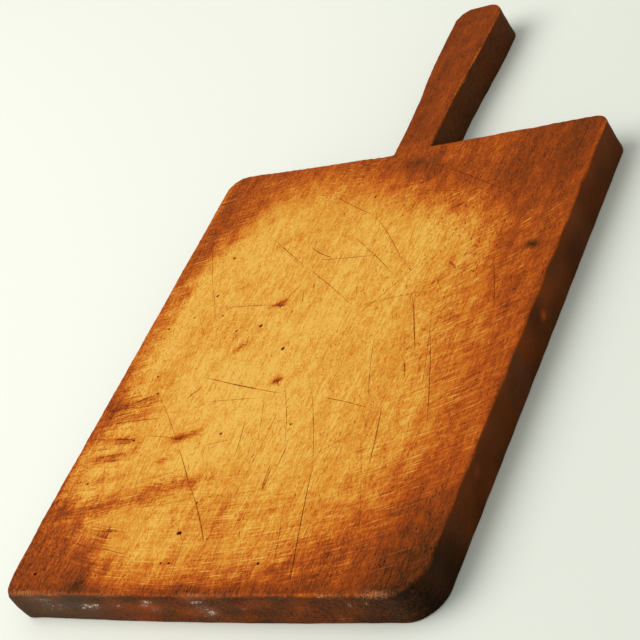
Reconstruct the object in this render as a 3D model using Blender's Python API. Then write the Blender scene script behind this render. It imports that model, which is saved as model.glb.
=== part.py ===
"""Old kitchen and butcher's cutting board: one sawn hardwood plank.

A nearly square blade lies flat, and a short hand grip is left standing on its far end when
the two shoulders beside it are sawn away. Blade and grip are the same piece of wood.

Frame: metres, +Z up, +Y from the blade towards the grip. The origin is the middle of the
blade on its underside, which is the face that the board lies on.
"""
import math

import bmesh
import bpy
from mathutils import Matrix, Vector

# ---- the plank
PLANK_THICKNESS = 0.023
ARRIS_ROUNDING = 0.0012  # the rubbed edge all round the top and the underside
ARRIS_SEGMENTS = 3

# ---- the blade, the part that food is cut on
BLADE_WIDTH = 0.280
BLADE_LENGTH = 0.328  # from the middle of the near end to the right-hand shoulder
NEAR_END_BOW = 0.0026  # how far its middle stands out beyond the start of its rounded corners
NEAR_LEFT_RADIUS = 0.013
NEAR_RIGHT_RADIUS = 0.019
FAR_LEFT_RADIUS = 0.0125
FAR_RIGHT_RADIUS = 0.0095

# ---- the shoulders, two separate saw cuts beside the grip; the left one isn't square
LEFT_CUT_RISE = 0.0035  # outer end of the left cut, beyond the right-hand cut
LEFT_CUT_DIP = 0.0025  # inner end of the left cut, short of the right-hand cut

# ---- the grip
HANDLE_LENGTH = 0.1355  # from the right-hand shoulder to the tip
HANDLE_OFFSET = 0.0045  # its centre line lies this far right of the blade's
NECK_WIDTH = 0.0264
GRIP_WIDTH = 0.0342
LEFT_NECK_LENGTH = 0.022  # each side is straight this far from the right-hand shoulder
RIGHT_NECK_LENGTH = 0.036
LEFT_GRIP_LENGTH = 0.0395  # and again this far back from the tip, its rounded corner included
RIGHT_GRIP_LENGTH = 0.0175
TIP_LEFT_RADIUS = 0.012
TIP_RIGHT_RADIUS = 0.0115

# ---- how finely curves are drawn
CORNER_STEPS = 10
BOW_STEPS = 16
FLARE_STEPS = 14

# ---- places that follow from the sizes
BLADE_LEFT = -BLADE_WIDTH / 2
BLADE_RIGHT = BLADE_WIDTH / 2
NEAR_END = -BLADE_LENGTH / 2
SHOULDER = BLADE_LENGTH / 2
TIP = SHOULDER + HANDLE_LENGTH

WOOD_COLOUR = (0.36, 0.13, 0.035, 1.0)
WOOD_ROUGHNESS = 0.55


def clear_scene():
    """Remove every object that the file opened with."""
    for thing in list(bpy.data.objects):
        bpy.data.objects.remove(thing, do_unlink=True)


def rounded_corner(before, corner, after, radius):
    """Arc tangent to both straight sides that meet at a corner, as a list of points."""
    side_in = (before - corner).normalized()
    side_out = (after - corner).normalized()
    half_angle = side_in.angle(side_out) / 2
    centre = corner + (side_in + side_out).normalized() * (radius / math.sin(half_angle))
    start = corner + side_in * (radius / math.tan(half_angle)) - centre
    end = corner + side_out * (radius / math.tan(half_angle)) - centre
    turn = -start.angle_signed(end)
    points = []
    for step in range(CORNER_STEPS + 1):
        spoke = start.copy()
        spoke.rotate(Matrix.Rotation(turn * step / CORNER_STEPS, 2))
        points.append(centre + spoke)
    return points


def near_end_bow(start, end):
    """Shallow arc of the near end between its two rounded corners, ends left out."""
    points = []
    for step in range(1, BOW_STEPS):
        share = step / BOW_STEPS
        point = start.lerp(end, share)
        point.y -= NEAR_END_BOW * 4 * share * (1 - share)
        points.append(point)
    return points


def grip_side(side, neck_length, grip_length):
    """One side of the grip as a smooth widening from neck to tip; side is -1 left, +1 right."""
    flare_length = HANDLE_LENGTH - neck_length - grip_length
    points = []
    for step in range(FLARE_STEPS + 1):
        share = step / FLARE_STEPS
        along = SHOULDER + neck_length + flare_length * share
        ease = share * share * (3 - 2 * share)
        width = NECK_WIDTH + (GRIP_WIDTH - NECK_WIDTH) * ease
        points.append(Vector((HANDLE_OFFSET + side * width / 2, along)))
    return points


def board_outline():
    """Closed outline of blade and grip seen from above, anticlockwise."""
    near_corner_y = NEAR_END + NEAR_END_BOW
    near_left = Vector((BLADE_LEFT, near_corner_y))
    near_right = Vector((BLADE_RIGHT, near_corner_y))
    far_right = Vector((BLADE_RIGHT, SHOULDER))
    far_left = Vector((BLADE_LEFT, SHOULDER + LEFT_CUT_RISE))
    neck_right = Vector((HANDLE_OFFSET + NECK_WIDTH / 2, SHOULDER))
    neck_left = Vector((HANDLE_OFFSET - NECK_WIDTH / 2, SHOULDER - LEFT_CUT_DIP))
    tip_right = Vector((HANDLE_OFFSET + GRIP_WIDTH / 2, TIP))
    tip_left = Vector((HANDLE_OFFSET - GRIP_WIDTH / 2, TIP))

    left_corner = rounded_corner(far_left, near_left, near_right, NEAR_LEFT_RADIUS)
    right_corner = rounded_corner(near_left, near_right, far_right, NEAR_RIGHT_RADIUS)
    right_side = grip_side(1, RIGHT_NECK_LENGTH, RIGHT_GRIP_LENGTH)
    left_side = grip_side(-1, LEFT_NECK_LENGTH, LEFT_GRIP_LENGTH)

    outline = left_corner
    outline += near_end_bow(left_corner[-1], right_corner[0])
    outline += right_corner
    outline += rounded_corner(near_right, far_right, neck_right, FAR_RIGHT_RADIUS)
    outline.append(neck_right)
    outline += right_side
    outline += rounded_corner(right_side[-1], tip_right, tip_left, TIP_RIGHT_RADIUS)
    outline += rounded_corner(tip_right, tip_left, left_side[-1], TIP_LEFT_RADIUS)
    outline += reversed(left_side)
    outline.append(neck_left)
    outline += rounded_corner(neck_left, far_left, near_left, FAR_LEFT_RADIUS)
    return outline


def wood_material():
    """Plain oiled hardwood."""
    material = bpy.data.materials.new("wood")
    material.use_nodes = True
    shader = material.node_tree.nodes["Principled BSDF"]
    shader.inputs["Base Color"].default_value = WOOD_COLOUR
    shader.inputs["Roughness"].default_value = WOOD_ROUGHNESS
    shader.inputs["Metallic"].default_value = 0.0
    return material


def cut_board():
    """Saw the outline out of the plank and rub its arrises round."""
    solid = bmesh.new()
    corners = [solid.verts.new((point.x, point.y, 0.0)) for point in board_outline()]
    underside = solid.faces.new(corners)
    raised = bmesh.ops.extrude_face_region(solid, geom=[underside])
    top_corners = [item for item in raised["geom"] if isinstance(item, bmesh.types.BMVert)]
    bmesh.ops.translate(solid, vec=(0.0, 0.0, PLANK_THICKNESS), verts=top_corners)
    bmesh.ops.recalc_face_normals(solid, faces=solid.faces)

    arrises = [edge for edge in solid.edges if edge.verts[0].co.z == edge.verts[1].co.z]
    bmesh.ops.bevel(
        solid,
        geom=arrises,
        offset=ARRIS_ROUNDING,
        offset_type="OFFSET",
        segments=ARRIS_SEGMENTS,
        profile=0.5,
        affect="EDGES",
        clamp_overlap=True,
    )

    mesh = bpy.data.meshes.new("board")
    solid.to_mesh(mesh)
    solid.free()
    mesh.shade_smooth()
    mesh.set_sharp_from_angle(angle=math.radians(35))
    mesh.materials.append(wood_material())
    board = bpy.data.objects.new("board", mesh)
    bpy.context.scene.collection.objects.link(board)
    return board


clear_scene()
cut_board()
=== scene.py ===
import math

import bpy
import bmesh
import numpy as np
from mathutils import Matrix, Vector
from mathutils.geometry import delaunay_2d_cdt


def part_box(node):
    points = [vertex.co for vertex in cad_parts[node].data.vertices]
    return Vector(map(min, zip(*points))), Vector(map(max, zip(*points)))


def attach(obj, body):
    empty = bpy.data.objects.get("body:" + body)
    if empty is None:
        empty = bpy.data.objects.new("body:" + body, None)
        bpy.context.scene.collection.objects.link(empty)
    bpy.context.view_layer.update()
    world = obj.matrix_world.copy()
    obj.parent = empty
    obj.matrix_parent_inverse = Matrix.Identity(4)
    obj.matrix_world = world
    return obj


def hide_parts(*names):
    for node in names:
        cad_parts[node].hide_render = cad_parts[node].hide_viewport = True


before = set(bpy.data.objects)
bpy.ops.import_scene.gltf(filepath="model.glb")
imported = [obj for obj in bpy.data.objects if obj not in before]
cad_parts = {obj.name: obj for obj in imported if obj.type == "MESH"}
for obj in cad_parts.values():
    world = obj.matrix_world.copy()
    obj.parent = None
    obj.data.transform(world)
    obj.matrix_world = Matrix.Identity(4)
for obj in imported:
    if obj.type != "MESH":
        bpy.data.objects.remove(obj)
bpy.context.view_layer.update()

# ------------------------------------------------------------------ the sawn outline
# The board is one hardwood plank. Its blade and its hand grip were sawn out in one piece: two
# separate cuts made the shoulders beside the grip, and the left one ran out of square. The
# corners were rounded by hand, each a little differently, and the near end bows outwards.
MM = 0.001
plank_low, plank_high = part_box("board")
PLANK_TOP = plank_high.z
BLADE_RIGHT = plank_high.x
BLADE_LEFT = plank_low.x
NEAR_END = plank_low.y
GRIP_TIP = plank_high.y
SHOULDER = 164 * MM
LEFT_CUT_RISE = 3.5 * MM
LEFT_CUT_DIP = 2.5 * MM
GRIP_MIDDLE = 4.5 * MM
GRIP_WIDTH = 34.2 * MM
NECK_WIDTH = 26.4 * MM
NEAR_END_BOW = 2.6 * MM
LEFT_FLARE = (22 * MM, 96 * MM)  # where the grip's sides begin and stop widening, from the shoulder
RIGHT_FLARE = (36 * MM, 118 * MM)
NECK_FILLET = 0.9 * MM
OUTLINE_STEP = 1.5 * MM
ARC_STEPS = 22

neck_left = GRIP_MIDDLE - NECK_WIDTH / 2
neck_right = GRIP_MIDDLE + NECK_WIDTH / 2
near_corner_y = NEAR_END + NEAR_END_BOW * 0.6
outline_corners = np.array([
    # x, y, radius of the rounded corner, anticlockwise from the near left one
    (BLADE_LEFT, near_corner_y, 13 * MM),
    (BLADE_RIGHT, near_corner_y, 19 * MM),
    (BLADE_RIGHT, SHOULDER, 9.5 * MM),
    (neck_right, SHOULDER, NECK_FILLET),
    (neck_right, GRIP_TIP, 11.5 * MM),
    (neck_left, GRIP_TIP, 12 * MM),
    (neck_left, SHOULDER - LEFT_CUT_DIP, NECK_FILLET),
    (BLADE_LEFT, SHOULDER + LEFT_CUT_RISE, 12.5 * MM),
])


def outline_path(corners, step):
    """Closed path round a polygon. Each corner is swapped for an arc of its own radius, tangent
    to both sides, and each straight run is then cut into equal lengths no longer than step."""
    point = corners[:, :2]
    radius = corners[:, 2:]
    back = np.roll(point, 1, axis=0) - point
    ahead = np.roll(point, -1, axis=0) - point
    back /= np.linalg.norm(back, axis=1, keepdims=True)
    ahead /= np.linalg.norm(ahead, axis=1, keepdims=True)
    half_angle = np.arccos(np.sum(back * ahead, axis=1, keepdims=True)) / 2
    inward = (back + ahead) / np.linalg.norm(back + ahead, axis=1, keepdims=True)
    centre = point + inward * radius / np.sin(half_angle)
    first = point + back * radius / np.tan(half_angle) - centre
    last = point + ahead * radius / np.tan(half_angle) - centre
    start = np.arctan2(first[:, 1], first[:, 0])[:, None]
    turn = np.arctan2(last[:, 1], last[:, 0])[:, None] - start
    turn = (turn + math.pi) % math.tau - math.pi
    angle = start + turn * np.linspace(0, 1, ARC_STEPS + 1)
    arcs = centre[:, None] + radius[:, None] * np.stack([np.cos(angle), np.sin(angle)], axis=-1)
    rough = arcs.reshape(-1, 2)
    run = np.roll(rough, -1, axis=0) - rough
    pieces = np.maximum(1, np.ceil(np.linalg.norm(run, axis=1) / step)).astype(int)
    which = np.repeat(np.arange(len(rough)), pieces)
    share = (np.arange(len(which)) - np.repeat(np.cumsum(pieces) - pieces, pieces)) / pieces[which]
    return rough[which] + run[which] * share[:, None]


def smooth_step(low, high, value):
    """Rises from 0 at low to 1 at high along an S-shaped curve."""
    share = np.clip((value - low) / (high - low), 0, 1)
    return share * share * (3 - 2 * share)


def flare_grip(path):
    """Widens the grip from neck to tip: each side moves out by half the difference in width along
    an S-curve, which is longer on the right than on the left."""
    x, y = path[:, 0], path[:, 1]
    left_share = smooth_step(*LEFT_FLARE, y - SHOULDER)
    right_share = smooth_step(*RIGHT_FLARE, y - SHOULDER)
    flare = (GRIP_WIDTH - NECK_WIDTH) / 2
    moved = np.where(x < GRIP_MIDDLE, x - flare * left_share, x + flare * right_share)
    return np.stack([moved, y], axis=1)


outline = flare_grip(outline_path(outline_corners, OUTLINE_STEP))
tangent = np.roll(outline, -1, axis=0) - np.roll(outline, 1, axis=0)
outward = np.stack([tangent[:, 1], -tangent[:, 0]], axis=1)
outward /= np.linalg.norm(outward, axis=1, keepdims=True)


# ------------------------------------------------------------------ the scoured upper face
# Years of scrubbing hollowed the middle of the blade by most of a millimetre and left the
# corners nearest the cook lower than the rest. The surface undulates along the grain.
HOLLOW_DEPTH = 0.7 * MM
UNDULATION = 0.07 * MM
SKIM = 0.01 * MM  # least wear anywhere
WORN_CORNERS = [
    # x, y, reach, depth
    (BLADE_LEFT, NEAR_END, 38 * MM, 0.9 * MM),
    (BLADE_RIGHT, NEAR_END, 34 * MM, 0.8 * MM),
]
RIPPLE_LENGTHS = (0.7, 1.5)  # shortest and longest wave, as shares of the wavelength asked for
RIPPLE_PEAK = 1.6  # a sum of many waves seldom rises past this many times its usual size


def ripples(x, y, wavelength, stretch=1.0, seed=0, waves=11):
    """Soft random hills, mostly between -1 and 1: the sum of plane waves of about one wavelength,
    in random directions and phases, drawn out along Y by the stretch and scaled to that range."""
    dice = np.random.default_rng(seed)
    heading = dice.uniform(0, math.tau, waves)
    phase = dice.uniform(0, math.tau, waves)
    pitch = math.tau / (wavelength * dice.uniform(*RIPPLE_LENGTHS, waves))
    total = np.zeros(np.shape(x))
    for turn, shift, rate in zip(heading, phase, pitch):
        total = total + np.cos(rate * (x * math.cos(turn) + y / stretch * math.sin(turn)) + shift)
    return total * math.sqrt(2 / waves) / RIPPLE_PEAK


def hill(x, y, middle_x, middle_y, reach_x, reach_y):
    """Round hill of height 1 at its middle, falling off as a bell curve."""
    return np.exp(-((x - middle_x) / reach_x) ** 2 - ((y - middle_y) / reach_y) ** 2)


def face_height(x, y):
    """Height of the upper face before any cuts: plank thickness, less a broad hollow, less the
    worn corners, less small hills drawn out along the grain."""
    hollow = HOLLOW_DEPTH * hill(x, y, -8 * MM, -10 * MM, 105 * MM, 125 * MM) ** 0.8
    corners = 0
    for corner_x, corner_y, reach, depth in WORN_CORNERS:
        corners = corners + depth * hill(x, y, corner_x, corner_y, reach, reach)
    long_hills = ripples(x, y, 26 * MM, stretch=3, seed=3)
    short_hills = ripples(x, y, 9 * MM, stretch=4, seed=4)
    hills = np.clip(0.6 * long_hills + 0.4 * short_hills, -1, 1)
    return PLANK_TOP - SKIM - hollow - corners - UNDULATION * (1 + hills)


# ------------------------------------------------------------------ knife cuts and gouges
# Long single strokes of a knife drawn across the blade, torn spots where its point dug in, many
# short nicks, and the light scratches that scrubbing left. Each is a V-shaped groove that starts
# and ends at nothing.
KNIFE_CUTS = [
    # from x, y to x, y, sideways bend, width, depth, all in millimetres
    (-73, 100.5, -35.5, 72, -0.3, 0.55, 0.30),
    (-35.5, 72, 18, 32, 0.8, 0.50, 0.24),
    (-66, 93.5, -32, 68.5, -0.4, 0.34, 0.16),
    (-123, 100.5, -104.5, 65, -0.5, 0.45, 0.24),
    (-104.5, 65, -86.5, 35, 0.4, 0.38, 0.22),
    (-40, 132, -1, 108.5, -0.6, 0.50, 0.28),
    (-1, 108.5, 39.5, 62, 1.7, 0.45, 0.22),
    (-38, 88, -16.5, 76, -1.0, 0.65, 0.40),
    (-31, 76.5, 18, 73, -0.6, 0.55, 0.34),
    (-9, 92.5, 38, 53, 0.6, 0.48, 0.28),
    (-72.5, -10.5, -2.5, -29.3, -0.8, 0.66, 0.38),
    (-65.7, -12.5, -20, -24.7, -0.4, 0.46, 0.28),
    (26, 147, 88, 112.3, 0.9, 0.45, 0.20),
    (22, 125, 57, 117, 0.5, 0.42, 0.20),
    (55.5, 67.5, 22.5, 25.5, 1.0, 0.50, 0.28),
    (-84, 45, -39, 41.5, 0.5, 0.60, 0.36),
    (54, 40.5, 75.5, -7.5, 1.0, 0.50, 0.26),
    (60, 30.3, 74.6, -3.6, -0.6, 0.46, 0.28),
    (42, 11, 59, -39, -0.8, 0.45, 0.25),
    (80, 7, 104, -58, 0.7, 0.60, 0.28),
    (75, 22, 91.5, -36, 0.5, 0.36, 0.18),
    (70, -44, 79, -84, 0.4, 0.62, 0.34),
    (15, -26, 41.5, -80.5, 0.8, 0.42, 0.22),
    (41.5, -79, 63, -156, -0.8, 0.62, 0.32),
    (-7, -20, 17, -69, 1.2, 0.44, 0.24),
    (17.6, -66, 17.6, -86, 0.3, 0.50, 0.28),
    (12.6, -78, 15.3, -98, -0.4, 0.60, 0.30),
    (-1, -30, -3, -112, 1.2, 0.34, 0.16),
    (-33, -96.5, -7, -130, 0.3, 0.46, 0.22),
    (-102, -20, -61, -64.5, 0.8, 0.42, 0.22),
    (-61, -64.5, -40, -89.5, 0.3, 0.60, 0.32),
    (-40, -89.5, -6, -131.5, 1.4, 0.42, 0.24),
    (25.5, -34.3, 61, -44.6, 0.6, 0.60, 0.34),
    (-21.5, -47, -16, -72, 0.3, 0.55, 0.30),
    (101, 58, 116.5, 16, 0.6, 0.45, 0.20),
    (-92, 54.5, -60, 65.5, 0.9, 0.40, 0.16),
    (-61, -31, -20, -31, 0.4, 0.48, 0.28),
    (24, 33.5, 66, 38, 0.5, 0.50, 0.28),
    (-16.5, -30, -5, -62, 0.4, 0.36, 0.20),
    (-23.5, -122, -18, -156, 0.4, 0.40, 0.20),
    (-27, 51, -23.5, 40, 0.4, 0.60, 0.32),
    (12, 50, 16, 41, 0.3, 0.50, 0.26),
    (63, -60, 92, -128, 1.0, 0.34, 0.14),
    (37.5, -115, 46, -142, 0.4, 0.40, 0.22),
    (57, -62, 13, -93, 0.6, 0.40, 0.22),
    (-94, -53, -58, -58.4, 0.4, 0.46, 0.26),
    (-50, -65, -23.5, -60, 0.3, 0.44, 0.26),
    (-80, -132, -57, -137, -0.4, 0.50, 0.24),
    (66, 62, 91, 46, 0.4, 0.36, 0.18),
]
GOUGES = [
    # short torn strokes: from x, y to x, y, sideways bend, width, depth
    (-47, 40.5, -38, 43.5, 0.4, 2.4, 0.60),
    (-42, 41.2, -33.8, 43.0, -0.6, 3.4, 0.75),
    (-38.5, 42, -35, 48, 0.3, 2.2, 0.50),
    (-42, 43, -38, 38.6, 0.3, 1.6, 0.40),
    (-35.5, 47, -31, 57, 0.5, 0.9, 0.24),
    (-17.5, -21.5, -8.5, -17, 0.5, 4.6, 0.75),
    (-14, -18, -10, -23, 0.4, 2.0, 0.45),
    (-57, 7, -49, 14, 0.8, 2.8, 0.30),
    (-76, -28, -67, -17, 0.4, 1.0, 0.36),
    (-70, -37, -58.5, -32, 0.3, 0.8, 0.16),
    (70, 61, 80, 51, 0.5, 1.5, 0.35),
    (70, -11, 77, -27, 0.6, 1.5, 0.35),
    (14, -80, 15.5, -98, 0.3, 1.2, 0.30),
    (65, 108, 56, 103, 0.4, 1.0, 0.20),
    (84, 70, 88, 67, 0.4, 2.2, 0.30),
    (-22, 57, -20, 51, 0.4, 1.2, 0.25),
    (-120, -28.2, -102, -22, 0.4, 1.0, 0.30),
    (-131, -25, -113, -20.5, 0.4, 0.8, 0.20),
    (-129, -37, -114, -34.4, 0.3, 1.0, 0.28),
    (-118, -42, -89, -40.6, 0.5, 0.9, 0.26),
    (-131, -31.5, -110, -30.5, 0.5, 0.8, 0.18),
    (-134, -53.4, -122, -54.4, 0.3, 0.9, 0.22),
    (-119, -54.2, -100, -56, 0.4, 1.0, 0.28),
    (-117, -58.5, -103, -58, 0.4, 0.8, 0.18),
    (-124, -68.6, -101, -65.6, 0.5, 1.5, 0.42),
    (-118, -71.5, -104, -70, 0.4, 0.9, 0.24),
    (-130, -76, -112, -74, 0.4, 0.8, 0.16),
    (-88, -121, -72, -121.6, 0.5, 1.6, 0.26),
    (-82.5, -116, -80, -130, 0.5, 1.4, 0.26),
]
CUT_STEP = 2.2 * MM
EDGE_MARGIN = 2.2 * MM  # cuts that come nearer than this to the arris are left out
FULL_OF_DIRT = 0.34 * MM  # a cut this deep is black with dirt
TORN_WIDTHS = (0.9 * MM, 1.6 * MM)  # wider marks are torn wood, which stays paler
TORN_PALER = 0.62
BLADE_MIDDLE = (-108, 98, -135, 138)  # least and most x, then least and most y, in millimetres
MOSTLY = 0.65  # common shares
ALL = 1
SCRUB_CENTRE = (-0.03, 0.28, 0.0)  # brush strokes swing in arcs round this point, beside the grip
rng = np.random.default_rng(11)


def random_marks(count, area, length, width, depth, slant, spread, common):
    """Strokes in millimetres, in rows like those above, that start at random points of an area.
    The common share of them lies near one slant, in degrees, and the rest lie any way."""
    x = rng.uniform(area[0], area[1], count)
    y = rng.uniform(area[2], area[3], count)
    near_slant = rng.normal(slant, spread, count)
    heading = np.radians(np.where(rng.random(count) < common, near_slant, rng.uniform(0, 180, count)))
    run = rng.uniform(*length, count)
    bend = rng.normal(0, 0.02, count) * run
    across = rng.uniform(*width, count)
    deep = rng.uniform(*depth, count)
    end_x = x + run * np.cos(heading)
    end_y = y + run * np.sin(heading)
    return np.stack([x, y, end_x, end_y, bend, across, deep], axis=1)


knife_marks = MM * np.vstack([
    np.array(KNIFE_CUTS),
    np.array(GOUGES),
    # count, area, length, width, depth, slant, spread of the slant, common share
    random_marks(110, BLADE_MIDDLE, (8, 36), (0.20, 0.34), (0.05, 0.15), -62, 18, MOSTLY),
    random_marks(230, BLADE_MIDDLE, (1.2, 4.2), (0.30, 0.62), (0.08, 0.26), 88, 22, MOSTLY),
    random_marks(90, (20, 100, 40, 132), (1.4, 5), (0.40, 0.80), (0.14, 0.32), 105, 30, MOSTLY),
    # combs of short strokes in from the left edge
    random_marks(26, (-133, -112, -48, -18), (7, 20), (0.4, 0.8), (0.08, 0.20), 10, 6, ALL),
    random_marks(18, (-131, -112, -76, -54), (7, 18), (0.4, 0.8), (0.08, 0.20), 4, 5, ALL),
    random_marks(30, (-134, -96, -112, -84), (8, 24), (0.4, 0.8), (0.07, 0.17), 7, 6, ALL),
    random_marks(26, (-98, -50, -106, -84), (9, 26), (0.4, 0.8), (0.06, 0.15), 13, 4, ALL),
    random_marks(80, (-137, -127, -90, 62), (2, 7), (0.4, 0.8), (0.07, 0.20), 4, 14, ALL),
])


def fresh_scratches(count, area, length, slant=None):
    """Thin shallow scratches down to clean wood. They follow the scrubbing: each lies square to
    the line from the scrub centre, unless a slant is given."""
    marks = random_marks(count, area, length, (0.24, 0.40), (0.03, 0.06), 0, 3, ALL)
    away_x = marks[:, 0] - SCRUB_CENTRE[0] / MM
    away_y = SCRUB_CENTRE[1] / MM - marks[:, 1]
    turn = np.arctan2(away_x, away_y) if slant is None else math.radians(slant)
    run = marks[:, 2:4] - marks[:, 0:2]
    marks[:, 2] = marks[:, 0] + run[:, 0] * np.cos(turn) - run[:, 1] * np.sin(turn)
    marks[:, 3] = marks[:, 1] + run[:, 0] * np.sin(turn) + run[:, 1] * np.cos(turn)
    return marks


pale_marks = MM * np.vstack([
    fresh_scratches(26, (-60, 30, -157, -147), (6, 28)),
    fresh_scratches(26, (10, 104, -152, -124), (8, 34)),
    fresh_scratches(34, (74, 122, -122, -30), (6, 24)),
    fresh_scratches(16, (60, 118, -20, 90), (5, 16)),
    fresh_scratches(34, (-124, -84, -142, -114), (7, 24), -13),
    fresh_scratches(14, (-96, -60, 98, 136), (3, 9), 38),
])


def cut_centre(mark):
    """Centre line of a cut: its chord plus a sideways parabola, with the share run at each point."""
    start, end = mark[0:2], mark[2:4]
    chord = end - start
    length = np.linalg.norm(chord)
    sideways = np.array([-chord[1], chord[0]]) / length
    share = np.linspace(0, 1, max(5, int(length / CUT_STEP)))[:, None]
    return start + chord * share + sideways * mark[4] * 4 * share * (1 - share), share[:, 0]


def cut_taper(share):
    """A cut keeps its full width and depth along the middle and runs out to nothing at its ends."""
    return np.clip(4 * share * (1 - share), 0, 1) ** 0.4


def cut_profile(x, y, marks):
    """Depth of the deepest groove at each point, and how dark its dirt is there, 0 to 1. Both fall
    evenly from the centre line to the lip, half a width away. Shallow and wide ones stay pale,
    and the dirt ends a little before the groove does."""
    depth = np.zeros(len(x))
    inside = np.zeros(len(x))
    for mark in marks:
        centre, share = cut_centre(mark)
        low = centre.min(axis=0) - mark[5]
        high = centre.max(axis=0) + mark[5]
        near = np.flatnonzero((x > low[0]) & (x < high[0]) & (y > low[1]) & (y < high[1]))
        if len(near) == 0:
            continue
        point = np.stack([x[near], y[near]], axis=1)[:, None]
        run = centre[1:] - centre[:-1]
        along = np.sum((point - centre[:-1]) * run, axis=2) / np.sum(run * run, axis=1)
        along = np.clip(along, 0, 1)
        apart = np.linalg.norm(point - centre[:-1] - run * along[..., None], axis=2)
        closest = np.argmin(apart, axis=1)
        rows = np.arange(len(near))
        run_share = (closest + along[rows, closest]) / len(run)
        taper = cut_taper(run_share)
        wall = np.clip(1 - apart[rows, closest] / (mark[5] / 2 * taper + 1e-9), 0, 1)
        depth[near] = np.maximum(depth[near], mark[6] * taper * wall)
        shade = np.clip(mark[6] / FULL_OF_DIRT, 0, 1) * np.clip(taper * 1.6 - 0.3, 0, 1)
        shade = shade * (1 - TORN_PALER * smooth_step(*TORN_WIDTHS, mark[5]))
        inside[near] = np.maximum(inside[near], shade * wall)
    return depth, inside


# ------------------------------------------------------------------ beetle holes
# Exit holes of the furniture beetle: round, straight-sided and a little over a millimetre
# across. One has broken out into a larger oval.
BEETLE_HOLES = [
    # x, y, width, height, in millimetres
    (-98.8, 88.1, 1.7, 1.5),
    (-95.8, 56.2, 1.8, 1.6),
    (-105.6, 39.4, 1.2, 1.2),
    (-122.4, 32.1, 1.5, 1.3),
    (-82.3, 38.3, 1.3, 1.3),
    (-64.4, 24.0, 1.4, 1.3),
    (-46.8, 26.0, 2.1, 1.9),
    (-20.4, 5.5, 2.0, 2.0),
    (-6.7, 124.8, 1.3, 1.4),
    (-109.2, -7.4, 1.2, 1.2),
    (-101.9, -20.8, 1.6, 1.5),
    (-100.5, -56.1, 1.6, 1.3),
    (-34.7, -55.5, 1.5, 1.4),
    (-118.7, -86.9, 1.6, 1.4),
    (13.2, -52.2, 1.3, 1.2),
    (-28.0, -123.3, 3.0, 2.0),
    (-30.0, -142.6, 1.4, 1.2),
    (-24.4, -142.6, 1.4, 1.2),
    (36.4, -143.4, 1.7, 1.4),
    (-26.3, -103.4, 1.3, 1.2),
    (-121.2, -148.8, 1.8, 1.5),
]
HOLE_DEPTH = 2.4 * MM
HOLE_FLOOR = 0.82  # size of a hole's floor as a share of its mouth
HOLE_SIDES = 12
CRUMBLED = 1.32  # how much wider the mouths have crumbled
beetle_holes = np.array(BEETLE_HOLES) * (1, 1, CRUMBLED, CRUMBLED) * MM


def hole_profile(x, y, holes):
    """Depth of the hole at each point, and how dark the painted shade inside it is there, 0 to 1,
    growing with depth: nothing outside the mouth, a steep wall just inside it, and a flat floor."""
    depth = np.zeros(len(x))
    for middle_x, middle_y, width, height in holes:
        reach = np.hypot((x - middle_x) / (width / 2), (y - middle_y) / (height / 2))
        wall = np.clip((1 - reach) / (1 - HOLE_FLOOR), 0, 1)
        depth = np.maximum(depth, HOLE_DEPTH * wall)
    return depth, depth / HOLE_DEPTH


# ------------------------------------------------------------------ sides and rubbed arrises
# The sides are as the saw and the plane left them, under a crust of old oil. The arrises are
# rubbed round, most at the corners, and chipped here and there.
CHIPS = [
    # x, y along the edge, reach along it, extra wear, in millimetres
    (20.7, 270.4, 1.6, 0.7),
    (17.6, 224.3, 3.0, 1.0),
    (3.1, 299.5, 3.5, 0.8),
    (18.0, 247.0, 2.2, 0.5),
    (120, -160, 9.0, 1.4),
    (80, -163, 2.5, 0.9),
    (-118, -160, 7.0, 1.0),
    (-96, -161, 3.0, 0.6),
    (20, -164, 4.0, 0.6),
    (140, -30, 4.0, 0.5),
    (140, 62, 5.0, 0.6),
    (140, 110, 3.0, 0.5),
    (-140, -128, 8.0, 0.8),
    (-140, 20, 3.0, 0.4),
    (-60, 166, 2.5, 0.5),
    (90, 164, 3.0, 0.5),
]
ARRIS_STEPS = 5
SIDE_ROWS = 14
ARRIS_WEAR = 1.15  # in millimetres, as are all the sizes down to FACE_RING
SOFT_VARIATION = 0.30
SHARP_VARIATION = 0.22
NEAR_END_WEAR = 0.1
NEAR_END_NICKS = 0.35
CORNER_WEAR = 1.0
LEAST_WEAR = 0.5
MOST_WEAR = 3.5
LOW_WEAR = 0.9
LOW_VARIATION = 0.25
SIDE_DISH = 0.2
TOOL_MARKS = 0.08
END_GRAIN_MARKS = 0.10
FACE_RING = 0.8

edge_x, edge_y = outline[:, 0], outline[:, 1]


def arris_wear(x, y):
    """How far the upper arris is rubbed back: a base value, soft and sharp variation along the
    edge, more at the near end and most at its two corners, and the chips."""
    wear = ARRIS_WEAR + SOFT_VARIATION * ripples(x, y, 30 * MM, seed=21)
    wear = wear + SHARP_VARIATION * ripples(x, y, 5 * MM, seed=22)
    near_end = smooth_step(NEAR_END + 12 * MM, NEAR_END, y)
    nicks = NEAR_END_NICKS * np.clip(ripples(x, y, 6 * MM, seed=25), 0, 1)
    wear = wear + near_end * (NEAR_END_WEAR + nicks)
    wear = wear + CORNER_WEAR * hill(x, y, BLADE_RIGHT, NEAR_END, 22 * MM, 26 * MM)
    wear = wear + CORNER_WEAR * hill(x, y, BLADE_LEFT, NEAR_END, 16 * MM, 16 * MM)
    for chip_x, chip_y, reach, extra in CHIPS:
        wear = wear + extra * hill(x, y, chip_x * MM, chip_y * MM, reach * MM, reach * MM)
    return np.clip(wear, LEAST_WEAR, MOST_WEAR) * MM


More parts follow.
